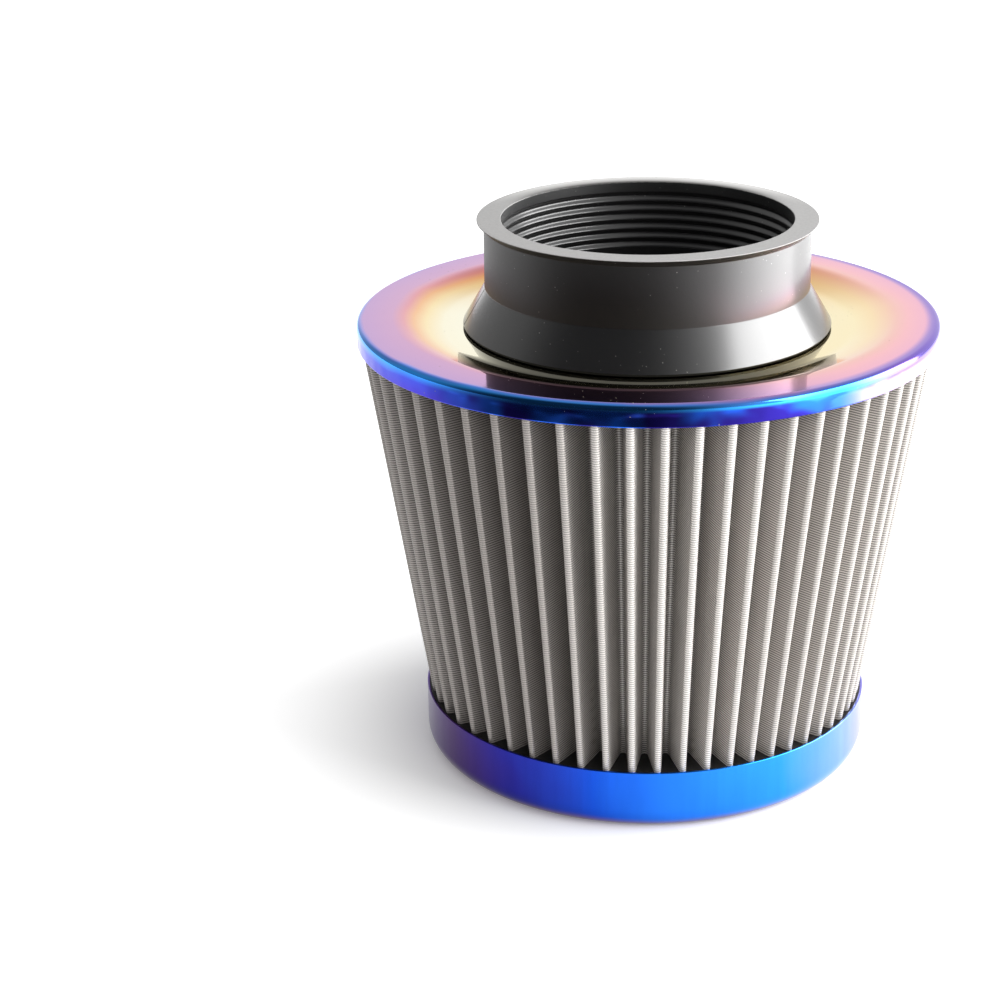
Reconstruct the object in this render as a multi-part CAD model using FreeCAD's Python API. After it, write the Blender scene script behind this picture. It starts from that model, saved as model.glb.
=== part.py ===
import FreeCAD, Part
import math
import os

# Cone air filter for an engine's cold air intake, standing on its closed end with the inlet upwards.
# Z is the filter's axis and the underside of the end cap is at Z = 0. Lengths are in millimetres.

# Rubber neck
inlet_diameter = 76.0
neck_wall = 4.5
lip_width = 1.8
lip_height = 1.9
lip_edge = 0.2
clamp_seat_height = 15.9
flare_width = 5.8
flare_height = 9.8
flare_edge = 0.55
flare_undercut = 0.3
flare_lift = 0.3
stem_wall = 6.0
shoulder_width = 2.0
foot_width = 3.0
foot_height = 2.5

# Grip grooves down the bore: the depth is to where the flanks would meet
groove_count = 6
groove_pitch = 2.6
groove_depth = 0.95
groove_width = 2.3
groove_rounding = 0.6
groove_start = 2.6

# Sheet steel top plate, from the neck outwards
plate_sheet = 0.7
dish_floor_margin = 5.6
dish_width = 10.8
dish_depth = 2.75
dish_floor_radius = 11.5
dish_rim_radius = 10.8
rim_width = 11.6
plate_edge_radius = 1.6
skirt_height = 5.9
hem_radius = 0.3

# Sheet steel end cap
cap_diameter = 120.5
cap_height = 16.7
cap_sheet = 0.7
cap_corner_radius = 5.5

# Pleated element: depth and pitch at its top, bends at its lower end, layers from the outside in
exposed_height = 98.8
pleat_depth = 14.0
pleat_pitch = 8.44
tip_bend_radius = 0.5
valley_bend_radius = 0.85
outer_mesh_thickness = 0.3
media_thickness = 0.4
inner_mesh_thickness = 0.3
tip_facets = 4
valley_facets = 2
pleat_skirt_gap = 0.4
pleat_cap_gap = 0.5

# Hand-set pleats: the first ridge's angle from the front and how far the ridges crowd, in degrees
first_pleat_angle = -2.8
pleat_crowding = 7.0

# Poured seals
seal_recess = 0.5
seal_margin = 2.0

# Radii of the neck and the plate
bore_radius = inlet_diameter / 2
clamp_seat_radius = bore_radius + neck_wall
lip_radius = clamp_seat_radius + lip_width
flare_radius = clamp_seat_radius + flare_width
hole_radius = bore_radius + stem_wall
shoulder_radius = hole_radius + shoulder_width
foot_radius = hole_radius + foot_width
dish_floor_edge = flare_radius + dish_floor_margin
dish_radius = dish_floor_edge + dish_width
plate_radius = dish_radius + rim_width
plate_inner_radius = plate_radius - plate_sheet

# Radii of the cap and the pleats
cap_radius = cap_diameter / 2
cap_inner_radius = cap_radius - cap_sheet
tip_radius_top = plate_inner_radius - pleat_skirt_gap
tip_radius_bottom = cap_inner_radius - pleat_cap_gap
element_taper = tip_radius_bottom / tip_radius_top
element_thickness = outer_mesh_thickness + media_thickness + inner_mesh_thickness
tip_fold_radius = (tip_bend_radius + element_thickness) / element_taper
valley_fold_radius = valley_bend_radius / element_taper
tip_centre_radius = tip_radius_top - tip_fold_radius
valley_centre_radius = tip_radius_top - pleat_depth + valley_fold_radius
clean_side_radius = tip_radius_top - pleat_depth - element_thickness
pleat_count = round(2 * math.pi * tip_radius_top / pleat_pitch)

# Heights, from the closed end up
pleat_bottom = cap_height - seal_recess
skirt_bottom = cap_height + exposed_height
pleat_top = skirt_bottom + seal_recess
plate_top = skirt_bottom + skirt_height
dish_floor = plate_top - dish_depth
foot_top = dish_floor - plate_sheet
foot_bottom = foot_top - foot_height
flare_bottom = dish_floor + flare_lift
flare_top = flare_bottom + flare_edge
clamp_seat_bottom = flare_top + flare_height
lip_bottom = clamp_seat_bottom + clamp_seat_height
neck_top = lip_bottom + lip_height

# Slope of the dish, and how far its bends move outwards through the sheet
dish_slope = math.atan2(dish_depth, dish_width)
sheet_shift = plate_sheet * math.tan(dish_slope / 2)


def rounded_wire(corners):
    """Closed wire through (radius, height, rounding) corners in the XZ plane."""
    points = [FreeCAD.Vector(radius, 0, height) for radius, height, rounding in corners]
    stretches = []
    for index, (radius, height, rounding) in enumerate(corners):
        here = points[index]
        back = (points[index - 1] - here).normalize()
        ahead = (points[(index + 1) % len(points)] - here).normalize()
        half_angle = back.getAngle(ahead) / 2
        reach = rounding / math.tan(half_angle)
        sagitta = rounding / math.sin(half_angle) - rounding
        middle = here + (back + ahead).normalize() * sagitta
        stretches.append((here + back * reach, middle, here + ahead * reach))
    edges = []
    for index, (entry, middle, leave) in enumerate(stretches):
        if corners[index][2] > 0:
            edges.append(Part.Arc(entry, middle, leave).toShape())
        following = stretches[(index + 1) % len(stretches)][0]
        edges.append(Part.makeLine(leave, following))
    return Part.Wire(edges)


def revolved(corners):
    """Solid of revolution about Z from a rounded profile."""
    axis_point = FreeCAD.Vector(0, 0, 0)
    axis_direction = FreeCAD.Vector(0, 0, 1)
    return Part.Face(rounded_wire(corners)).revolve(axis_point, axis_direction, 360)


def inside_bend(outside_radius, sheet):
    """Radius of a sheet's bend on its inner face."""
    return max(outside_radius - sheet, 0)


def bore_grooves():
    """Corners of the grip grooves down the bore, from the mouth inwards."""
    corners = []
    for index in range(groove_count):
        start = neck_top - groove_start - index * groove_pitch
        corners.append((bore_radius, start, 0))
        corners.append((bore_radius + groove_depth, start - groove_width / 2, groove_rounding))
        corners.append((bore_radius, start - groove_width, 0))
    return corners


def make_neck():
    """Moulded rubber inlet: its stem grips the plate's hole between the shoulder and the foot."""
    return revolved([
        (bore_radius, foot_bottom, 0),
        (foot_radius, foot_bottom, 0),
        (foot_radius, foot_top, 0),
        (hole_radius, foot_top, 0),
        (hole_radius, dish_floor, 0),
        (shoulder_radius, dish_floor, 0),
        (shoulder_radius, flare_bottom, 0),
        (flare_radius - flare_undercut, flare_bottom, 0),
        (flare_radius, flare_top, 0),
        (clamp_seat_radius, clamp_seat_bottom, 0),
        (clamp_seat_radius, lip_bottom, 0),
        (lip_radius, neck_top - lip_edge, 0),
        (lip_radius, neck_top, 0),
        (bore_radius, neck_top, 0),
    ] + bore_grooves())


def plate_underside(inner_radius):
    """Corners of the plate's lower face, from the skirt's inside to a radius on the dish floor."""
    sheet_top = plate_top - plate_sheet
    return [
        (plate_inner_radius, sheet_top, inside_bend(plate_edge_radius, plate_sheet)),
        (dish_radius + sheet_shift, sheet_top, inside_bend(dish_rim_radius, plate_sheet)),
        (dish_floor_edge + sheet_shift, foot_top, dish_floor_radius + plate_sheet),
        (inner_radius, foot_top, 0),
    ]


def make_top_plate():
    """Pressed plate: flat rim, turned-down skirt and a dished middle with the neck's hole."""
    return revolved([
        (hole_radius, dish_floor, 0),
        (dish_floor_edge, dish_floor, dish_floor_radius),
        (dish_radius, plate_top, dish_rim_radius),
        (plate_radius, plate_top, plate_edge_radius),
        (plate_radius, skirt_bottom, hem_radius),
        (plate_inner_radius, skirt_bottom, hem_radius),
    ] + plate_underside(hole_radius))


def make_top_seal():
    """Poured ring that fills the plate's rim above the pleats."""
    level = FreeCAD.Vector(0, 0, pleat_top)
    ring = Part.makeCylinder(plate_radius, skirt_height, level)
    core = Part.makeCylinder(clean_side_radius - seal_margin, skirt_height, level)
    below_plate = revolved([(0, 0, 0), (plate_inner_radius, 0, 0)] + plate_underside(0))
    return ring.cut(core).common(below_plate)


def make_end_cap():
    """Pressed cup with a rounded lower corner."""
    return revolved([
        (0, 0, 0),
        (cap_radius, 0, cap_corner_radius),
        (cap_radius, cap_height, 0),
        (cap_inner_radius, cap_height, 0),
        (cap_inner_radius, cap_sheet, inside_bend(cap_corner_radius, cap_sheet)),
        (0, cap_sheet, 0),
    ])


def make_bottom_seal():
    """Poured disc that fills the cap and levels out just below its rim."""
    return revolved([
        (0, cap_sheet, 0),
        (cap_inner_radius, cap_sheet, inside_bend(cap_corner_radius, cap_sheet)),
        (cap_inner_radius, pleat_bottom, 0),
        (0, pleat_bottom, 0),
    ])


def pleat_angle(number):
    """Angle of a pleat's ridge from the front, in radians."""
    even = math.radians(first_pleat_angle + 360.0 * number / pleat_count)
    return even + math.radians(pleat_crowding) * (math.cos(even) - 1)


def on_circle(angle, radius):
    return FreeCAD.Vector(radius * math.sin(angle), -radius * math.cos(angle), 0)


def flank_swing(half_spacing):
    """Turn from a ridge's outward direction to square with its flank, for a valley that far round."""
    across = valley_centre_radius * math.sin(half_spacing)
    inward = tip_centre_radius - valley_centre_radius * math.cos(half_spacing)
    lean = math.asin((tip_fold_radius + valley_fold_radius) / math.hypot(across, inward))
    return math.pi / 2 - math.atan2(across, inward) + lean


def fold_points(centre, radius, start, end, facets):
    """Points round one fold, at equal steps from one flank to the other."""
    steps = [start + (end - start) * step / facets for step in range(facets + 1)]
    return [centre + on_circle(angle, radius) for angle in steps]


def pleat_section(depth_in, taper, height):
    """Points of the element's zigzag section at a height, a given depth in from its outer face."""
    level = FreeCAD.Vector(0, 0, height)
    tip_radius = tip_fold_radius * taper - depth_in
    valley_radius = valley_fold_radius * taper + depth_in
    points = []
    for number in range(pleat_count):
        here = pleat_angle(number)
        following = pleat_angle(number + 1)
        swing_before = flank_swing((here - pleat_angle(number - 1)) / 2)
        swing_after = flank_swing((following - here) / 2)
        tip = on_circle(here, tip_centre_radius * taper) + level
        valley = on_circle((here + following) / 2, valley_centre_radius * taper) + level
        points += fold_points(tip, tip_radius, here - swing_before, here + swing_after, tip_facets)
        into_valley = here + swing_after + math.pi
        out_of_valley = following - swing_after + math.pi
        points += fold_points(valley, valley_radius, into_valley, out_of_valley, valley_facets)
    return points


def flat_loop(points):
    return Part.makePolygon(points + points[:1])


def make_pleated_layer(outer_depth, thickness):
    """One folded sheet, drawn from the plate down to the cap, with flat ends on the two seals."""
    faces = []
    sections = []
    for depth_in in (outer_depth, outer_depth + thickness):
        lower = pleat_section(depth_in, element_taper, pleat_bottom)
        upper = pleat_section(depth_in, 1.0, pleat_top)
        sections.append((lower, upper))
        for index in range(len(lower)):
            corners = [lower[index - 1], lower[index], upper[index], upper[index - 1]]
            faces.append(Part.Face(flat_loop(corners)))
    for outside, inside in zip(*sections):
        faces.append(Part.Face([flat_loop(outside), flat_loop(inside)]))
    shell = Part.makeShell(faces)
    shell.sewShape()
    return Part.makeSolid(shell)


def export(shape, name):
    shape.exportStep("parts/" + name + ".step")


os.makedirs("parts", exist_ok=True)
export(make_neck(), "neck")
export(make_top_plate(), "top_plate")
export(make_top_seal(), "top_seal")
export(make_bottom_seal(), "bottom_seal")
export(make_end_cap(), "end_cap")
media_depth = outer_mesh_thickness
inner_mesh_depth = media_depth + media_thickness
export(make_pleated_layer(0, outer_mesh_thickness), "outer_mesh")
export(make_pleated_layer(media_depth, media_thickness), "filter_media")
export(make_pleated_layer(inner_mesh_depth, inner_mesh_thickness), "inner_mesh")
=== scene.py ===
import bmesh
import bpy
import math
from collections import namedtuple
from mathutils import Matrix, Vector


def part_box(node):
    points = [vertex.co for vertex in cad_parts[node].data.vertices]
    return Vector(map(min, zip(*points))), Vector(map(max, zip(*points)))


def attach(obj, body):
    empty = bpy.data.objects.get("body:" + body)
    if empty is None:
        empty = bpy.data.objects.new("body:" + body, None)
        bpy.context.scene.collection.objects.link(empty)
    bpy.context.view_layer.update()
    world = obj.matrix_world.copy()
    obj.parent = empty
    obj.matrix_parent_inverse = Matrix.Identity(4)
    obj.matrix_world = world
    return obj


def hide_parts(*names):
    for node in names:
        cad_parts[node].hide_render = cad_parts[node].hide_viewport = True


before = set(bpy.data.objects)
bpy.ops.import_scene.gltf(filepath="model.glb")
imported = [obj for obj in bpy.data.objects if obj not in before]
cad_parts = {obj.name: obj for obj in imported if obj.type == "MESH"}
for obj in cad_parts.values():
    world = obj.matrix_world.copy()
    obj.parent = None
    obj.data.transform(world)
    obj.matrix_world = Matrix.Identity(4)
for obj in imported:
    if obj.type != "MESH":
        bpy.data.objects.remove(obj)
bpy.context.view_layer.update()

# Lengths are in millimetres, and each mesh is scaled to metres as it is made
MM = 0.001


def node_span(name):
    """Outer radius, bottom and top of a CAD node, in millimetres."""
    low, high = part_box(name)
    return min(high.x, high.y, -low.x, -low.y) / MM, low.z / MM, high.z / MM


plate_radius, skirt_bottom, plate_top = node_span("top_plate")
cap_radius, cap_bottom, cap_top = node_span("end_cap")
flare_radius, foot_low, neck_top = node_span("neck")
pleat_bottom, pleat_top = node_span("outer_mesh")[1:]

# Sheet steel plate and cap
sheet = 0.7
hole_radius = 44.0
dish_floor_edge = 53.9
dish_radius = 64.7
dish_depth = 2.75
dish_floor_rounding = 11.5
dish_rim_rounding = 10.8
plate_edge_rounding = 1.6
hem_rounding = 0.3
cap_corner_rounding = 5.5
burr_rounding = 0.2
dish_floor = plate_top - dish_depth

# Rubber neck
bore_radius = 38.0
clamp_seat_radius = 42.5
lip_radius = 44.3
lip_edge = 0.2
lip_height = 1.9
clamp_seat_height = 15.9
flare_height = 9.8
flare_edge = 0.55
flare_undercut = 0.3
shoulder_radius = 46.0
foot_radius = 47.0
seat_top = neck_top - lip_height
seat_bottom = seat_top - clamp_seat_height
flare_top = seat_bottom - flare_height
bore_foot_rounding = 0.3
foot_rounding = 0.5
flare_rounding = 0.2
seat_foot_rounding = 0.4
seat_top_rounding = 0.2
lip_under_rounding = 0.05
lip_rounding = 0.08
mouth_rounding = 0.15
wave_count = 6
wave_pitch = 2.6
wave_depth = 0.76
wave_start = 2.6
wave_samples = 16

# Mould line down the flare: its place in degrees round from the back through the left, and half its width
mould_line_angle = 98.0
mould_line_half_width = 0.4

# Pleated cloth: the folds of the CAD layers, with smooth and tighter bends in thinner sheets
pleat_count = 56
pleat_depth = 14.0
first_pleat_angle = -2.8
pleat_crowding = 7.0
pleat_skirt_gap = 0.4
pleat_cap_gap = 0.5
tip_bend_radius = 0.12
valley_bend_radius = 0.85
tip_radius_top = plate_radius - sheet - pleat_skirt_gap
element_taper = (cap_radius - sheet - pleat_cap_gap) / tip_radius_top
layer_thickness = {"outer_mesh": 0.25, "filter_media": 0.3, "inner_mesh": 0.25}

# Pitches of the wires along the pleats' height and along the folded length
outer_weft_pitch = 0.645
outer_warp_pitch = 0.5
backing_weft_pitch = 0.9
backing_warp_pitch = 1.6

# Fineness of the meshes, and the angles above which their edges stay sharp
neck_segments = 360
steel_segments = 480
neck_arc_steps = 8
plate_arc_steps = 12
cap_arc_steps = 14
tip_steps = 8
valley_steps = 6
cloth_levels = 24
turned_crease = math.radians(40)
folded_crease = math.radians(50)

# Heat colours of the plate, in screen values by millimetres from the axis and on down the skirt; the right
# side's list is paler in its outer rings, partly a painted highlight
plate_heat_start = 44.0
plate_heat_end = 84.0
plate_edge_heat = [
    (76.0, (84, 140, 235)),
    (77.2, (52, 164, 255)),
    (79.5, (64, 78, 212)),
    (83.0, (78, 62, 198)),
]
plate_cooler_heat = [
    (46.0, (252, 249, 226)),
    (54.0, (252, 246, 218)),
    (58.5, (252, 230, 176)),
    (61.5, (246, 190, 138)),
    (64.0, (229, 155, 164)),
    (67.0, (205, 153, 197)),
    (74.5, (191, 149, 205)),
]
plate_right_heat_and_highlight = [
    (46.0, (250, 236, 190)),
    (54.0, (252, 236, 188)),
    (59.0, (250, 222, 172)),
    (62.5, (247, 205, 172)),
    (65.0, (246, 190, 178)),
    (68.0, (250, 182, 190)),
    (74.5, (240, 170, 206)),
]

# Heat colours of the cap, by degrees round from the front: partly heat tint, partly painted light, darker
# violet on the left as painted shade and paler toward the right as a painted highlight
cap_heat_and_painted_light = [
    (-178, (60, 95, 215)),
    (-110, (88, 62, 150)),
    (-58, (74, 40, 112)),
    (-34, (44, 44, 152)),
    (-14, (28, 82, 208)),
    (10, (40, 122, 232)),
    (38, (50, 154, 250)),
    (62, (128, 172, 246)),
    (84, (150, 142, 232)),
    (110, (96, 140, 240)),
    (178, (60, 95, 215)),
]

# Camera, found from the photo: place in millimetres and turns in degrees
camera_place = Vector((0.0, -598.7, 298.7))
camera_pitch = 21.033
camera_yaw = -3.766
camera_roll = -0.916
camera_lens = 85.04
camera_sensor = 36.0

# Studio, in metres: the lamps, and the floor's distances from the object
window_place = (0.62, -0.05, 0.29)
window_size = (0.90, 0.50)
window_aim = (0.0, 0.0, 0.08)
window_power = 9.8
card_place = (0.36, -0.05, 0.05)
card_size = (0.50, 0.08)
card_aim = (0.0, 0.0, 0.12)
card_power = 0.26
floor_half_width = 4.0
dark_floor_start = 0.24
dark_floor_full = 0.40
# The floor's glow fades close to the object: painted shade round its base
near_glow_start = 0.03
near_glow_full = 0.12
near_glow_level = 0.64
far_glow_start = 0.30
far_glow_full = 1.0
far_glow_level = 0.34

# Toward the dark of the room, from the object
dark_direction = (-0.40, -0.89, 0.22)
# Toward the lit part of the room behind the camera
fill_direction = (0.32, -0.91, 0.25)


def srgb(red, green, blue):
    """Linear colour from 0 to 255 screen values."""
    def linear(value):
        value /= 255.0
        return value / 12.92 if value <= 0.04045 else ((value + 0.055) / 1.055) ** 2.4
    return (linear(red), linear(green), linear(blue), 1.0)


def grey(level):
    """Linear grey."""
    return (level, level, level, 1.0)


# Mesh building

def rounded_outline(corners, steps, guard=0.12):
    """Closed outline through (radius, height, rounding) corners, with arcs and guard points beside them."""
    points = [Vector((radius, height)) for radius, height, rounding in corners]
    stretches = []
    for index, (radius, height, rounding) in enumerate(corners):
        here = points[index]
        back = (points[index - 1] - here).normalized()
        ahead = (points[(index + 1) % len(points)] - here).normalized()
        if rounding == 0:
            stretches.append([here])
            continue
        half = back.angle(ahead) / 2
        centre = here + (back + ahead).normalized() * (rounding / math.sin(half))
        start = here + back * (rounding / math.tan(half)) - centre
        turn = start.angle_signed(here + ahead * (rounding / math.tan(half)) - centre)
        arc = []
        for step in range(steps + 1):
            angle = -turn * step / steps
            arc.append(centre + Matrix.Rotation(angle, 2) @ start)
        stretches.append(arc)
    outline = []
    for index, stretch in enumerate(stretches):
        outline += stretch
        leave = stretch[-1]
        entry = stretches[(index + 1) % len(stretches)][0]
        run = entry - leave
        if run.length > 4 * guard:
            outline.append(leave + run.normalized() * guard)
            outline.append(entry - run.normalized() * guard)
    return outline


def mesh_object(name, mesh):
    piece = bpy.data.objects.new(name, mesh)
    bpy.context.scene.collection.objects.link(piece)
    return piece


def smooth_piece(name, build, crease):
    """Object from a bmesh, shaded smooth up to the crease angle."""
    mesh = bpy.data.meshes.new(name)
    build.to_mesh(mesh)
    build.free()
    mesh.shade_smooth()
    mesh.set_sharp_from_angle(angle=crease)
    return mesh_object(name, mesh)


def lathe(name, outline, segments):
    """Closed solid of revolution about Z from an outline of (radius, height) points in millimetres."""
    build = bmesh.new()
    rings = []
    for step in range(segments):
        angle = 2 * math.pi * step / segments
        across = (math.cos(angle) * MM, math.sin(angle) * MM)
        rings.append([build.verts.new((r * across[0], r * across[1], z * MM)) for r, z in outline])
    for step in range(segments):
        here, there = rings[step], rings[(step + 1) % segments]
        for index in range(len(outline)):
            build.faces.new((here[index - 1], there[index - 1], there[index], here[index]))
    bmesh.ops.remove_doubles(build, verts=build.verts, dist=1e-6)
    bmesh.ops.dissolve_degenerate(build, edges=build.edges, dist=1e-7)
    bmesh.ops.recalc_face_normals(build, faces=build.faces)
    return smooth_piece(name, build, turned_crease)


def stand_for(piece, node, material):
    """The piece replaces a CAD node, which it hides, takes a material and rides with the filter."""
    piece.data.materials.append(material)
    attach(piece, "root")
    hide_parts(node)


def dress(node, material):
    """Gives a CAD node that stays in view its own finish."""
    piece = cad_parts[node]
    piece.data.materials.clear()
    piece.data.materials.append(material)


# Node helpers for materials

def set_input(tree, socket, value):
    """Sets an input to a number or colour, or links it to another node's output."""
    if isinstance(value, bpy.types.NodeSocket):
        tree.links.new(value, socket)
    else:
        socket.default_value = value


def add_node(tree, kind, settings=None, **inputs):
    """New node: settings are its properties, and inputs are values or sockets by input name."""
    made = tree.nodes.new(kind)
    for key, value in (settings or {}).items():
        setattr(made, key, value)
    for key, value in inputs.items():
        set_input(tree, made.inputs[key.replace("_", " ")], value)
    return made


def calc(tree, operation, *values):
    """Output of a Math node on numbers or sockets."""
    made = tree.nodes.new("ShaderNodeMath")
    made.operation = operation
    for socket, value in zip(made.inputs, values):
        set_input(tree, socket, value)
    return made.outputs[0]


def product(tree, first, *others):
    for other in others:
        first = calc(tree, "MULTIPLY", first, other)
    return first


def total(tree, first, *others):
    for other in others:
        first = calc(tree, "ADD", first, other)
    return first


def largest(tree, first, *others):
    for other in others:
        first = calc(tree, "MAXIMUM", first, other)
    return first


def inverse(tree, mask):
    return calc(tree, "SUBTRACT", 1.0, mask)


def distance_from(tree, value, middle):
    return calc(tree, "ABSOLUTE", calc(tree, "SUBTRACT", value, middle))


def map_range(tree, value, from_low=0.0, from_high=1.0, to_low=0.0, to_high=1.0):
    """Value carried in proportion from one range to another."""
    made = add_node(tree, "ShaderNodeMapRange", Value=value, From_Min=from_low, From_Max=from_high,
                    To_Min=to_low, To_Max=to_high)
    return made.outputs["Result"]


def smooth_step(tree, value, low, high):
    """0 at low and 1 at high, with a smooth change between; low may be the larger."""
    made = add_node(tree, "ShaderNodeMapRange", {"interpolation_type": "SMOOTHSTEP"},
                    Value=value, From_Min=low, From_Max=high)
    return made.outputs["Result"]


def colour_ramp(tree, factor, stops):
    """Colour from (place, colour) stops."""
    made = tree.nodes.new("ShaderNodeValToRGB")
    elements = made.color_ramp.elements
    while len(elements) < len(stops):
        elements.new(0.5)
    for element, (place, colour) in zip(elements, stops):
        element.position = place
        element.color = colour
    tree.links.new(factor, made.inputs["Fac"])
    return made.outputs["Color"]


def heat_ramp(tree, factor, stops, start, end):
    """Heat colours from stops placed between a start and an end, where the factor is 0 and 1."""
    span = end - start
    return colour_ramp(tree, factor, [((place - start) / span, srgb(*tint)) for place, tint in stops])


def mix_colour(tree, factor, first, second, blend="MIX"):
    made = tree.nodes.new("ShaderNodeMix")
    made.data_type = "RGBA"
    made.blend_type = blend
    for index, value in ((0, factor), (6, first), (7, second)):
        set_input(tree, made.inputs[index], value)
    return made.outputs[2]


def noise_value(tree, vector, scale, detail=3.0, roughness=0.5):
    made = add_node(tree, "ShaderNodeTexNoise", Vector=vector, Scale=scale, Detail=detail,
                    Roughness=roughness)
    return made.outputs["Fac"]


def dust_specks(tree, vector, scale, size, patch_scale, patch_low, patch_high):
    """Mask of small specks, which lie in patches."""
    cells = add_node(tree, "ShaderNodeTexVoronoi", Vector=vector, Scale=scale, Randomness=1.0)
    patch = smooth_step(tree, noise_value(tree, vector, patch_scale, 2.0), patch_low, patch_high)
    return product(tree, calc(tree, "LESS_THAN", cells.outputs["Distance"], size), patch)


def new_material(name):
    material = bpy.data.materials.new(name)
    material.use_nodes = True
    tree = material.node_tree
    return material, tree, tree.nodes["Principled BSDF"]


Place = namedtuple("Place", "vector x y z radius")


def place_in_mm(tree):
    """Object coordinates in millimetres, with the distance from the axis."""
    coordinates = add_node(tree, "ShaderNodeTexCoord")
    scaled = add_node(tree, "ShaderNodeVectorMath", {"operation": "SCALE"}, Scale=1 / MM)
    tree.links.new(coordinates.outputs["Object"], scaled.inputs[0])
    x, y, z = add_node(tree, "ShaderNodeSeparateXYZ", Vector=scaled.outputs[0]).outputs
    radius = calc(tree, "SQRT", total(tree, product(tree, x, x), product(tree, y, y)))
    return Place(scaled.outputs[0], x, y, z, radius)


def turn_from_front(tree, x, y):
    """Place round the axis from 0 to 1: 0.5 at the front, 0.75 at the right and 0 or 1 at the back."""
    angle = calc(tree, "ARCTAN2", x, product(tree, y, -1.0))
    return total(tree, calc(tree, "DIVIDE", angle, 2 * math.pi), 0.5)


def add_bump(tree, shader, height, strength, depth):
    """Relief on a shader, with its depth in millimetres."""
    relief = add_node(tree, "ShaderNodeBump", Height=height, Strength=strength, Distance=depth * MM)
    tree.links.new(relief.outputs["Normal"], shader.inputs["Normal"])


# Materials

def cut_face_colour(tree, at, grain):
    """Grey of the neck's cut top face: a painted highlight at the back, darker toward the bore and paler
    toward its outer edge, and chipped at the back.
    """
    cut = mix_colour(tree, grain, srgb(170, 169, 168), srgb(200, 199, 198))
    # Painted highlight at the back of the face: darker at the bore's edge and paler toward the outer edge
    back_highlight = colour_ramp(tree, map_range(tree, at.radius, bore_radius, lip_radius), [
        (0.08, srgb(78, 77, 75)),
        (0.35, srgb(188, 187, 185)),
        (0.75, srgb(240, 239, 237)),
    ])
    behind = smooth_step(tree, calc(tree, "DIVIDE", at.y, at.radius), 0.25, 0.9)
    cut = mix_colour(tree, behind, cut, back_highlight)
    half_face = (lip_radius - bore_radius) / 2
    chip_reach = 0.75
    chip_blend = 0.1
    ragged = product(tree, noise_value(tree, at.vector, 0.5, 4.0, 0.7), 1.6)
    from_middle = distance_from(tree, at.radius, (bore_radius + lip_radius) / 2)
    chips = smooth_step(tree, total(tree, from_middle, ragged),
                        half_face + chip_reach, half_face + chip_reach + chip_blend)
    return mix_colour(tree, product(tree, chips, behind), cut, srgb(40, 39, 38))


def make_rubber():
    """Moulded black rubber: glossy sides, a rough grey cut face on top with a painted highlight at its back,
    a darker, duller foot under the flare as painted shade, dust and a mould line.
    """
    edge_skin = 0.05
    edge_blend = 0.2
    seat_blend = 0.3
    line_blend = 0.4
    bore_band = 1.5
    bore_band_blend = 1.0
    material, tree, shader = new_material("neck_rubber")
    at = place_in_mm(tree)
    top_face = smooth_step(tree, at.z, neck_top - edge_skin - edge_blend, neck_top - edge_skin)
    below_flare = smooth_step(tree, at.z, flare_top - edge_skin + edge_blend, flare_top - edge_skin)
    grain = noise_value(tree, at.vector, 1.6, 4.0, 0.6)

    blotch = noise_value(tree, at.vector, 0.08, 2.0)
    body = mix_colour(tree, blotch, srgb(8, 8, 9), srgb(15, 15, 16))
    # Painted shade: under the flare the rubber is a flat dark grey, a little darker than the body, and below
    # it the shine is cut
    body = mix_colour(tree, below_flare, body, srgb(9, 9, 9))
    shade = mix_colour(tree, top_face, body, cut_face_colour(tree, at, grain))
    dust = dust_specks(tree, at.vector, 0.55, 0.075, 0.06, 0.42, 0.62)
    shade = mix_colour(tree, product(tree, dust, 0.5), shade, srgb(170, 168, 164))
    tree.links.new(shade, shader.inputs["Base Color"])

    wall = smooth_step(tree, at.z, seat_bottom - seat_blend, seat_bottom + seat_blend)
    dull = largest(tree, top_face, below_flare)
    rough = total(tree, map_range(tree, grain, to_low=0.30, to_high=0.38),
                  product(tree, wall, 0.10), product(tree, dull, 0.3))
    tree.links.new(rough, shader.inputs["Roughness"])

    turn = product(tree, turn_from_front(tree, at.x, at.y), 360.0)
    line = smooth_step(tree, distance_from(tree, turn, mould_line_angle),
                       2 * mould_line_half_width, mould_line_half_width)
    line = product(tree, line, smooth_step(tree, at.z, seat_bottom, seat_bottom - line_blend))
    shine = inverse(tree, largest(tree, product(tree, below_flare, 0.85), product(tree, line, 0.8)))
    tree.links.new(product(tree, shine, 0.75), shader.inputs["Specular IOR Level"])
    cone = smooth_step(tree, at.z, seat_bottom + seat_blend, seat_bottom - seat_blend)
    in_bore = smooth_step(tree, at.radius, bore_radius + bore_band + bore_band_blend, bore_radius + bore_band)
    handled = smooth_step(tree, calc(tree, "DIVIDE", at.x, at.radius), 0.35, 0.8)
    polished = largest(tree, product(tree, in_bore, 0.7), product(tree, handled, 0.8))
    polished = product(tree, polished, shine, inverse(tree, top_face))
    tree.links.new(largest(tree, product(tree, cone, shine), polished), shader.inputs["Coat Weight"])
    shader.inputs["Coat IOR"].default_value = 1.7
    shader.inputs["Coat Roughness"].default_value = 0.2
    add_bump(tree, shader, total(tree, product(tree, grain, 0.1), line), 0.6, 0.2)
    return material


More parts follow.
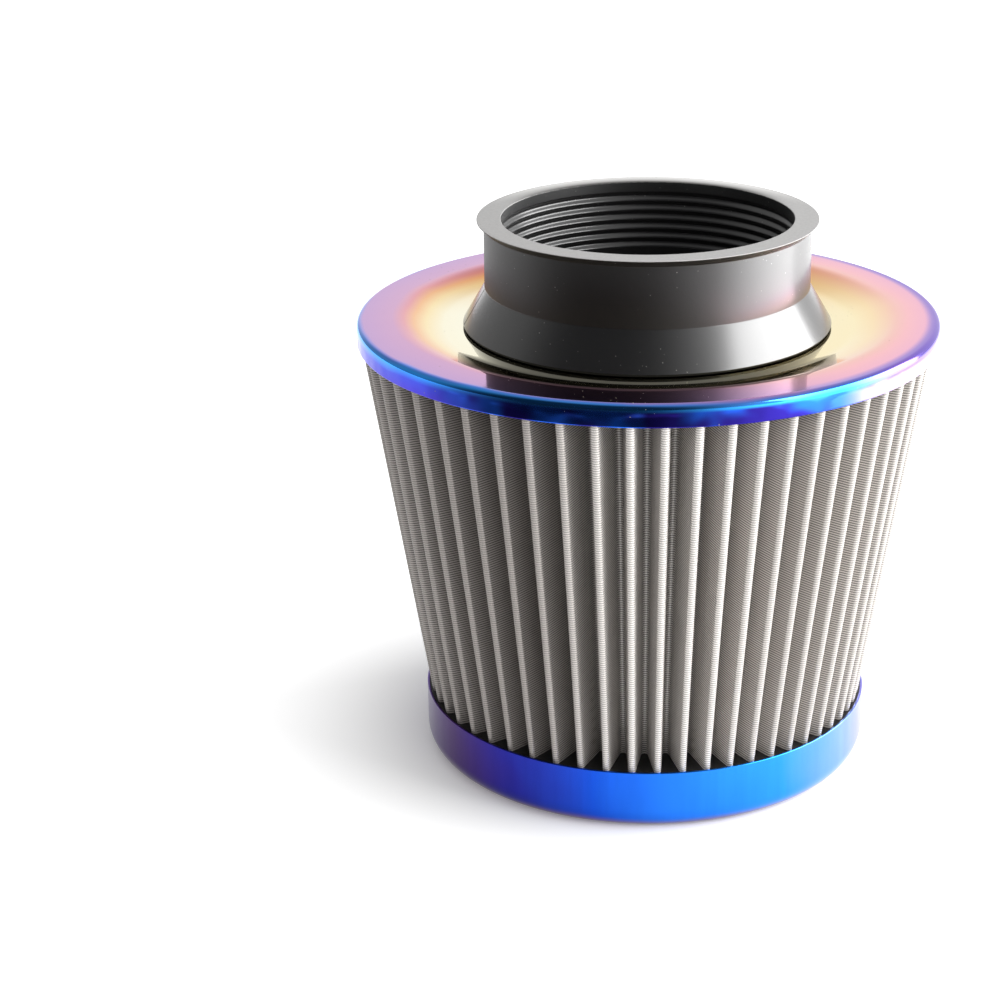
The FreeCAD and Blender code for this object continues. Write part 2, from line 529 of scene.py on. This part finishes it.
def skirt_tint_and_painted_reflections(tree, at, tint, on_skirt):
    """Skirt tint with painted light: mottled blue in front as painted reflections, then azure and pale violet
    to the right as a painted highlight.
    """
    mottle_start = 1.6
    mottle_full = 2.4
    pale_start = 2.0
    pale_full = 3.0
    across = calc(tree, "DIVIDE", at.x, at.radius)
    # Painted highlight: azure on the right of the skirt
    azure = product(tree, smooth_step(tree, across, 0.35, 0.65), on_skirt, 0.6)
    tint = mix_colour(tree, azure, tint, srgb(26, 116, 224))
    # Painted reflections: blue patches over the dark front of the skirt
    mottled = product(tree, smooth_step(tree, across, -0.75, -0.4), smooth_step(tree, across, 0.7, 0.45),
                      smooth_step(tree, at.z, plate_top - mottle_start, plate_top - mottle_full), on_skirt)
    reflection_patches = smooth_step(tree, noise_value(tree, at.vector, 0.10, 1.0), 0.36, 0.60)
    tint = mix_colour(tree, mottled, tint, mix_colour(tree, reflection_patches, srgb(38, 104, 236), srgb(44, 34, 136)))
    # Painted highlight: pale violet on the right, paler lower down
    pale = product(tree, smooth_step(tree, across, 0.6, 0.85), on_skirt)
    tint = mix_colour(tree, product(tree, pale, 0.85), tint, srgb(136, 96, 204))
    lower = smooth_step(tree, at.z, plate_top - pale_start, plate_top - pale_full)
    return mix_colour(tree, product(tree, pale, lower), tint, srgb(196, 166, 222))


def make_plate_steel():
    """Polished steel, heat-coloured in rings: straw round the neck, then orange, lilac and blue, with painted
    light: the far side of the dish darker and the right side's outer rings paler.
    """
    skirt_start = 72.0
    skirt_full = 75.0
    far_start = 66.5
    far_full = 62.0
    far_shift = 2.6
    drift_width = 4.0
    dent_start = 1.8
    dent_full = 3.4
    dent_height = 3.5
    material, tree, shader = new_material("plate_steel")
    at = place_in_mm(tree)
    on_skirt = smooth_step(tree, at.radius, skirt_start, skirt_full)
    far_side = product(tree, smooth_step(tree, calc(tree, "DIVIDE", at.y, at.radius), 0.1, 0.9),
                       smooth_step(tree, at.radius, far_start, far_full))

    drift = calc(tree, "SUBTRACT", noise_value(tree, at.vector, 0.03, 2.0), 0.5)
    fall = product(tree, calc(tree, "SUBTRACT", plate_top, at.z), on_skirt)
    reach = total(tree, at.radius, fall, product(tree, drift, drift_width),
                  product(tree, far_side, far_shift))
    place = map_range(tree, reach, plate_heat_start, plate_heat_end)
    cooler = heat_ramp(tree, place, plate_cooler_heat + plate_edge_heat, plate_heat_start, plate_heat_end)
    right_heat_and_highlight = heat_ramp(tree, place, plate_right_heat_and_highlight + plate_edge_heat, plate_heat_start, plate_heat_end)
    # Right side: heat tint that is paler in the outer rings, partly a painted highlight
    right_side = smooth_step(tree, calc(tree, "DIVIDE", at.x, at.radius), 0.2, 0.75)
    tint = mix_colour(tree, right_side, cooler, right_heat_and_highlight)
    # Painted shade: the far side of the dish darker and more orange
    tint = mix_colour(tree, product(tree, far_side, 0.85), tint, srgb(236, 198, 142), "MULTIPLY")
    tint = skirt_tint_and_painted_reflections(tree, at, tint, on_skirt)
    dust = dust_specks(tree, at.vector, 0.5, 0.07, 0.08, 0.5, 0.7)
    tree.links.new(mix_colour(tree, dust, tint, srgb(165, 158, 140)), shader.inputs["Base Color"])
    tree.links.new(inverse(tree, dust), shader.inputs["Metallic"])

    smear = noise_value(tree, at.vector, 0.12, 3.0, 0.6)
    rough = total(tree, map_range(tree, smear, to_low=0.03, to_high=0.09),
                  product(tree, on_skirt, 0.05), product(tree, dust, 0.6))
    tree.links.new(rough, shader.inputs["Roughness"])
    dented = smooth_step(tree, at.z, plate_top - dent_start, plate_top - dent_full)
    waves = calc(tree, "SUBTRACT", noise_value(tree, at.vector, 0.12, 1.0), 0.5)
    waves = product(tree, waves, dented, dent_height, on_skirt)
    add_bump(tree, shader, total(tree, noise_value(tree, at.vector, 0.05, 1.0), waves), 0.8, 0.1)
    return material


def make_cap_steel():
    """Satin steel, heat-coloured from violet through blue to azure, with violet at the bottom corner, and
    painted shade on the left and a painted highlight on the right.
    """
    corner_start = 4.6
    corner_full = 1.6
    corner_drift = 2.0
    material, tree, shader = new_material("cap_steel")
    at = place_in_mm(tree)
    cloud = noise_value(tree, at.vector, 0.035, 2.0)
    upright = add_node(tree, "ShaderNodeVectorMath", {"operation": "MULTIPLY"})
    tree.links.new(at.vector, upright.inputs[0])
    upright.inputs[1].default_value = (1.0, 1.0, 0.06)
    streak = noise_value(tree, upright.outputs[0], 0.5, 3.0, 0.6)
    drift = product(tree, calc(tree, "SUBTRACT", cloud, 0.5), 0.06)
    turn = total(tree, turn_from_front(tree, at.x, at.y), drift)
    # Heat tint by place round the cap, with painted shade on the left and a painted highlight on the right
    tint = heat_ramp(tree, turn, cap_heat_and_painted_light, -180, 180)
    clouded = total(tree, at.z, product(tree, cloud, corner_drift))
    low_edge = smooth_step(tree, clouded, corner_start, corner_full)
    tint = mix_colour(tree, product(tree, low_edge, 0.8), tint, srgb(126, 92, 128))
    tint = mix_colour(tree, product(tree, streak, 0.3), tint, srgb(150, 150, 170), "MULTIPLY")
    tree.links.new(tint, shader.inputs["Base Color"])
    shader.inputs["Metallic"].default_value = 1.0
    tree.links.new(map_range(tree, streak, to_low=0.14, to_high=0.26), shader.inputs["Roughness"])
    return material


def make_wire_cloth(name, weft_pitch, warp_pitch, wire, gap):
    """Woven stainless wire in fine rows, from the cloth's own length and height in millimetres, with painted
    light: paler ridges, darker valleys, and darker on the left and right.
    """
    material, tree, shader = new_material(name)
    at = place_in_mm(tree)
    cloth = add_node(tree, "ShaderNodeUVMap", {"uv_map": "cloth"})
    along, up = add_node(tree, "ShaderNodeSeparateXYZ", Vector=cloth.outputs["UV"]).outputs[:2]
    row = calc(tree, "DIVIDE", up, weft_pitch)
    stagger = product(tree, calc(tree, "MODULO", calc(tree, "FLOOR", row), 2.0), 0.5)
    column = total(tree, calc(tree, "DIVIDE", along, warp_pitch), stagger)
    across_wire = calc(tree, "ABSOLUTE", calc(tree, "SINE", product(tree, row, math.pi)))
    over_under = calc(tree, "ABSOLUTE", calc(tree, "SINE", product(tree, column, math.pi)))
    height = product(tree, across_wire, total(tree, product(tree, over_under, 0.25), 0.75))
    shade = colour_ramp(tree, height, [(0.25, gap), (0.85, wire)])

    # Depth into the pleats, 0 at the ridges and 1 at the valleys
    taper = map_range(tree, at.z, pleat_bottom, pleat_top, element_taper, 1.0)
    inward = inverse(tree, calc(tree, "DIVIDE", at.radius, product(tree, taper, tip_radius_top)))
    inward = product(tree, inward, tip_radius_top / pleat_depth)
    # Painted highlight: the ridges paler, with less of the weave showing
    ridge = product(tree, smooth_step(tree, inward, 0.10, 0.02), 0.3)
    shade = mix_colour(tree, ridge, shade, wire)
    # Painted shade: darker toward the bottoms of the valleys
    painted_valley_shade = product(tree, smooth_step(tree, inward, 0.70, 0.95), 0.3)
    shade = mix_colour(tree, painted_valley_shade, shade, srgb(62, 59, 56))

    # Painted shade: the cloth darker on the left, and a little darker on the right
    across = calc(tree, "DIVIDE", at.x, at.radius)
    painted_shade_left = smooth_step(tree, across, 0.0, -0.5)
    shade = mix_colour(tree, painted_shade_left, shade, srgb(192, 189, 188), "MULTIPLY")
    painted_shade_right = smooth_step(tree, across, 0.25, 0.6)
    shade = mix_colour(tree, painted_shade_right, shade, srgb(230, 229, 228), "MULTIPLY")
    tree.links.new(shade, shader.inputs["Base Color"])
    shader.inputs["Metallic"].default_value = 0.35
    shader.inputs["Roughness"].default_value = 0.38
    add_bump(tree, shader, height, 0.4, 0.1)
    return material


def make_gauze():
    """Pale fibre gauze."""
    material, tree, shader = new_material("filter_gauze")
    fibre = noise_value(tree, place_in_mm(tree).vector, 3.0, 5.0, 0.7)
    shade = mix_colour(tree, fibre, srgb(196, 190, 178), srgb(232, 228, 218))
    tree.links.new(shade, shader.inputs["Base Color"])
    shader.inputs["Roughness"].default_value = 0.95
    add_bump(tree, shader, fibre, 0.5, 0.3)
    return material


def make_seal():
    """Poured black polyurethane with faint ripples."""
    material, tree, shader = new_material("poured_seal")
    ripple = noise_value(tree, place_in_mm(tree).vector, 0.25, 3.0)
    shade = mix_colour(tree, ripple, srgb(14, 14, 15), srgb(26, 26, 27))
    tree.links.new(shade, shader.inputs["Base Color"])
    shader.inputs["Roughness"].default_value = 0.45
    add_bump(tree, shader, ripple, 0.3, 0.5)
    return material


# Pieces

def bore_waves():
    """Corners of the rounded ribs down the bore's wall, from the top."""
    corners = []
    for step in range(wave_count * wave_samples + 1):
        part = step / wave_samples
        depth = wave_depth * math.sin(math.pi * part) ** 2
        corners.append((bore_radius + depth, neck_top - wave_start - wave_pitch * part, 0))
    return corners


def make_neck():
    foot_top = dish_floor - sheet
    flare_bottom = flare_top - flare_edge
    return lathe("rubber_neck", rounded_outline([
        (bore_radius, foot_low, bore_foot_rounding),
        (foot_radius, foot_low, foot_rounding),
        (foot_radius, foot_top, 0),
        (hole_radius, foot_top, 0),
        (hole_radius, dish_floor, 0),
        (shoulder_radius, dish_floor, 0),
        (shoulder_radius, flare_bottom, 0),
        (flare_radius - flare_undercut, flare_bottom, 0),
        (flare_radius, flare_top, flare_rounding),
        (clamp_seat_radius, seat_bottom, seat_foot_rounding),
        (clamp_seat_radius, seat_top, seat_top_rounding),
        (lip_radius, neck_top - lip_edge, lip_under_rounding),
        (lip_radius, neck_top, lip_rounding),
        (bore_radius, neck_top, mouth_rounding),
    ] + bore_waves(), neck_arc_steps), neck_segments)


def make_top_plate():
    slope = math.atan2(dish_depth, dish_radius - dish_floor_edge)
    shift = sheet * math.tan(slope / 2)
    inner_radius = plate_radius - sheet
    return lathe("heat_coloured_plate", rounded_outline([
        (hole_radius, dish_floor, 0),
        (dish_floor_edge, dish_floor, dish_floor_rounding),
        (dish_radius, plate_top, dish_rim_rounding),
        (plate_radius, plate_top, plate_edge_rounding),
        (plate_radius, skirt_bottom, hem_rounding),
        (inner_radius, skirt_bottom, hem_rounding),
        (inner_radius, plate_top - sheet, plate_edge_rounding - sheet),
        (dish_radius + shift, plate_top - sheet, dish_rim_rounding - sheet),
        (dish_floor_edge + shift, dish_floor - sheet, dish_floor_rounding + sheet),
        (hole_radius, dish_floor - sheet, 0),
    ], plate_arc_steps), steel_segments)


def make_end_cap():
    inner_radius = cap_radius - sheet
    return lathe("heat_coloured_cap", rounded_outline([
        (0.0, cap_bottom, 0),
        (cap_radius, cap_bottom, cap_corner_rounding),
        (cap_radius, cap_top, burr_rounding),
        (inner_radius, cap_top, burr_rounding),
        (inner_radius, cap_bottom + sheet, cap_corner_rounding - sheet),
        (0.0, cap_bottom + sheet, 0),
    ], cap_arc_steps), steel_segments)


def pleat_angle(number):
    """Angle of a pleat's ridge from the front, in radians."""
    even = math.radians(first_pleat_angle + 360.0 * number / pleat_count)
    return even + math.radians(pleat_crowding) * (math.cos(even) - 1)


def on_circle(angle, radius):
    return Vector((radius * math.sin(angle), -radius * math.cos(angle)))


def fold_points(centre, radius, start, end, steps):
    """Points round one fold, at equal steps from one flank to the other."""
    turns = [start + (end - start) * step / steps for step in range(steps + 1)]
    return [centre + on_circle(turn, radius) for turn in turns]


def pleat_section(depth_in, taper):
    """Points of the pleated section, a given depth in from the element's outer face."""
    thickness = sum(layer_thickness.values())
    tip_fold = (tip_bend_radius + thickness) / element_taper
    valley_fold = valley_bend_radius / element_taper
    tip_centre = tip_radius_top - tip_fold
    valley_centre = tip_radius_top - pleat_depth + valley_fold

    def swing(half_spacing):
        """Turn from a ridge's outward direction to square with its flank."""
        across = valley_centre * math.sin(half_spacing)
        inward = tip_centre - valley_centre * math.cos(half_spacing)
        lean = math.asin((tip_fold + valley_fold) / math.hypot(across, inward))
        return math.pi / 2 - math.atan2(across, inward) + lean

    points = []
    for number in range(pleat_count):
        here = pleat_angle(number)
        following = pleat_angle(number + 1)
        before = swing((here - pleat_angle(number - 1)) / 2)
        after = swing((following - here) / 2)
        tip = on_circle(here, tip_centre * taper)
        valley = on_circle((here + following) / 2, valley_centre * taper)
        points += fold_points(tip, tip_fold * taper - depth_in, here - before, here + after, tip_steps)
        points += fold_points(valley, valley_fold * taper + depth_in,
                              here + after + math.pi, following - after + math.pi, valley_steps)
    return points


def folded_length(depth_in, taper):
    """Length of the sheet along its folds, once round the element."""
    points = pleat_section(depth_in, taper)
    return sum((points[index] - points[index - 1]).length for index in range(len(points)))


def cloth_wall(build, depth_in):
    """Rings of vertices from the bottom up, and the lengths along the folds at half height."""
    rings = []
    for level in range(cloth_levels + 1):
        part = level / cloth_levels
        height = pleat_bottom + (pleat_top - pleat_bottom) * part
        section = pleat_section(depth_in, element_taper + (1 - element_taper) * part)
        rings.append([build.verts.new((p.x * MM, p.y * MM, height * MM)) for p in section])
    middle = rings[cloth_levels // 2]
    lengths = [0.0]
    for index in range(len(middle)):
        step = (middle[(index + 1) % len(middle)].co - middle[index].co).length / MM
        lengths.append(lengths[-1] + step)
    return rings, lengths


def make_pleated_cloth(name, depth_in, thickness):
    """Folded sheet between the seals, with a map of its length and height in millimetres."""
    build = bmesh.new()
    cloth_map = build.loops.layers.uv.new("cloth")
    outer_rings, outer_lengths = cloth_wall(build, depth_in)
    inner_rings, inner_lengths = cloth_wall(build, depth_in + thickness)
    count = len(outer_rings[0])
    for rings, lengths, inside in ((outer_rings, outer_lengths, False), (inner_rings, inner_lengths, True)):
        for low, high in zip(rings[:-1], rings[1:]):
            for index in range(count):
                after = (index + 1) % count
                corners = [(low[index], lengths[index]), (low[after], lengths[index + 1]),
                           (high[after], lengths[index + 1]), (high[index], lengths[index])]
                if inside:
                    corners.reverse()
                face = build.faces.new([vert for vert, length in corners])
                for loop, (vert, length) in zip(face.loops, corners):
                    loop[cloth_map].uv = (length, vert.co.z / MM)
    for level in (0, cloth_levels):
        outside, within = outer_rings[level], inner_rings[level]
        for index in range(count):
            after = (index + 1) % count
            corners = [outside[index], within[index], within[after], outside[after]]
            if level > 0:
                corners.reverse()
            build.faces.new(corners)
    return smooth_piece(name, build, folded_crease)


stand_for(make_neck(), "neck", make_rubber())
stand_for(make_top_plate(), "top_plate", make_plate_steel())
stand_for(make_end_cap(), "end_cap", make_cap_steel())

outer_cloth = make_pleated_cloth("outer_wire_cloth", 0.0, layer_thickness["outer_mesh"])
stand_for(outer_cloth, "outer_mesh",
          make_wire_cloth("wire_cloth", outer_weft_pitch, outer_warp_pitch,
                          srgb(244, 239, 234), srgb(114, 111, 108)))

gauze_depth = layer_thickness["outer_mesh"]
gauze = make_pleated_cloth("pleated_gauze", gauze_depth, layer_thickness["filter_media"])
stand_for(gauze, "filter_media", make_gauze())
gauze_top = folded_length(gauze_depth, 1.0)
gauze_bottom = folded_length(gauze_depth, element_taper)

inner_depth = gauze_depth + layer_thickness["filter_media"]
inner_cloth = make_pleated_cloth("inner_wire_cloth", inner_depth, layer_thickness["inner_mesh"])
stand_for(inner_cloth, "inner_mesh",
          make_wire_cloth("backing_cloth", backing_weft_pitch, backing_warp_pitch,
                          srgb(196, 191, 184), srgb(46, 44, 42)))

seal_material = make_seal()
dress("top_seal", seal_material)
dress("bottom_seal", seal_material)


# Stage, light and camera

def facing(tree, vector, aim, low, high):
    """Mask of the directions that lie toward an aim."""
    toward = add_node(tree, "ShaderNodeVectorMath", {"operation": "DOT_PRODUCT"})
    tree.links.new(vector, toward.inputs[0])
    toward.inputs[1].default_value = aim
    return smooth_step(tree, toward.outputs["Value"], low, high)


def make_floor():
    """White paper that shows white to the camera and in the steel, with the object's shadow on it; its glow
    fades close to the object as a painted shade round the base, and in reflections it is dark toward the
    front.
    """
    side = floor_half_width
    mesh = bpy.data.meshes.new("floor")
    corners = [(-side, -side, 0), (side, -side, 0), (side, side, 0), (-side, side, 0)]
    mesh.from_pydata(corners, [], [(0, 1, 2, 3)])
    floor = mesh_object("floor", mesh)
    material, tree, shader = new_material("floor_paper")
    spot = add_node(tree, "ShaderNodeTexCoord").outputs["Object"]
    away = add_node(tree, "ShaderNodeVectorMath", {"operation": "NORMALIZE"})
    tree.links.new(spot, away.inputs[0])
    length = add_node(tree, "ShaderNodeVectorMath", {"operation": "LENGTH"})
    tree.links.new(spot, length.inputs[0])
    reach = length.outputs["Value"]
    path = add_node(tree, "ShaderNodeLightPath").outputs

    dark = product(tree, facing(tree, away.outputs[0], dark_direction, 0.3, 0.95),
                   smooth_step(tree, reach, dark_floor_start, dark_floor_full), path["Is Glossy Ray"])
    paper = mix_colour(tree, path["Is Diffuse Ray"], grey(0.92), grey(0.42))
    tree.links.new(mix_colour(tree, dark, paper, grey(0.05)), shader.inputs["Base Color"])
    shader.inputs["Roughness"].default_value = 0.9
    shader.inputs["Specular IOR Level"].default_value = 0.0

    seen = largest(tree, path["Is Camera Ray"], path["Is Glossy Ray"], path["Is Transmission Ray"])
    # Painted shade: the glow fades close to the object
    near_glow = product(tree, smooth_step(tree, reach, near_glow_start, near_glow_full), near_glow_level)
    far_glow = product(tree, smooth_step(tree, reach, far_glow_start, far_glow_full), far_glow_level)
    glow = product(tree, seen, inverse(tree, dark), total(tree, near_glow, far_glow))
    tree.links.new(glow, shader.inputs["Emission Strength"])
    shader.inputs["Emission Color"].default_value = grey(1.0)
    floor.data.materials.append(material)


def make_world():
    """White to the camera and, low down, in the steel; a dimmer room for light, and dark on one side."""
    world = bpy.data.worlds.new("studio")
    bpy.context.scene.world = world
    world.use_nodes = True
    tree = world.node_tree
    direction = add_node(tree, "ShaderNodeTexCoord").outputs["Generated"]
    split = add_node(tree, "ShaderNodeSeparateXYZ", Vector=direction).outputs
    left = smooth_step(tree, split["X"], -0.25, -0.7)
    front = facing(tree, direction, dark_direction, 0.3, 0.85)
    fill = facing(tree, direction, fill_direction, 0.4, 0.95)

    room_light = mix_colour(tree, left, grey(0.40), grey(0.18))
    room_light = mix_colour(tree, front, room_light, grey(0.36))
    room_light = mix_colour(tree, fill, room_light, grey(1.35))
    wall = mix_colour(tree, smooth_step(tree, split["Z"], 0.3, 0.9), grey(1.0), grey(0.65))
    wall = mix_colour(tree, left, wall, grey(0.42))
    room_seen = mix_colour(tree, front, wall, (0.035, 0.035, 0.04, 1.0))
    path = add_node(tree, "ShaderNodeLightPath").outputs
    mirrored = largest(tree, path["Is Glossy Ray"], path["Is Transmission Ray"])
    shade = mix_colour(tree, mirrored, room_light, room_seen)
    shade = mix_colour(tree, path["Is Camera Ray"], shade, grey(1.0))
    background = tree.nodes["Background"]
    tree.links.new(shade, background.inputs["Color"])
    background.inputs["Strength"].default_value = 1.0


def make_softbox(name, place, size, power, aim):
    """Rectangular lamp turned toward an aim."""
    light = bpy.data.lights.new(name, "AREA")
    light.shape = "RECTANGLE"
    light.size, light.size_y = size
    light.energy = power
    lamp = bpy.data.objects.new(name, light)
    lamp.visible_camera = False
    bpy.context.scene.collection.objects.link(lamp)
    lamp.location = place
    lamp.rotation_euler = (Vector(aim) - Vector(place)).to_track_quat("-Z", "Y").to_euler()


def make_camera():
    """Camera at the photo's place: yaw about Z, pitch down, then roll about the line of sight."""
    pitch, yaw, roll = (math.radians(angle) for angle in (camera_pitch, camera_yaw, camera_roll))
    right = Vector((math.cos(yaw), -math.sin(yaw), 0))
    forward = Vector((math.cos(pitch) * math.sin(yaw), math.cos(pitch) * math.cos(yaw), -math.sin(pitch)))
    up = Vector((math.sin(pitch) * math.sin(yaw), math.sin(pitch) * math.cos(yaw), math.cos(pitch)))
    image_right = right * math.cos(roll) + up * math.sin(roll)
    image_up = up * math.cos(roll) - right * math.sin(roll)
    camera = bpy.data.cameras.new("camera")
    camera.lens = camera_lens
    camera.sensor_width = camera_sensor
    camera.clip_start = 0.01
    viewer = bpy.data.objects.new("camera", camera)
    bpy.context.scene.collection.objects.link(viewer)
    turn = Matrix((image_right, image_up, -forward)).transposed().to_4x4()
    viewer.matrix_world = Matrix.Translation(camera_place * MM) @ turn
    bpy.context.scene.camera = viewer


make_floor()
make_world()
make_softbox("window_right", window_place, window_size, window_power, window_aim)
make_softbox("card_right", card_place, card_size, card_power, card_aim)
make_camera()
bpy.context.scene.view_settings.view_transform = "Standard"
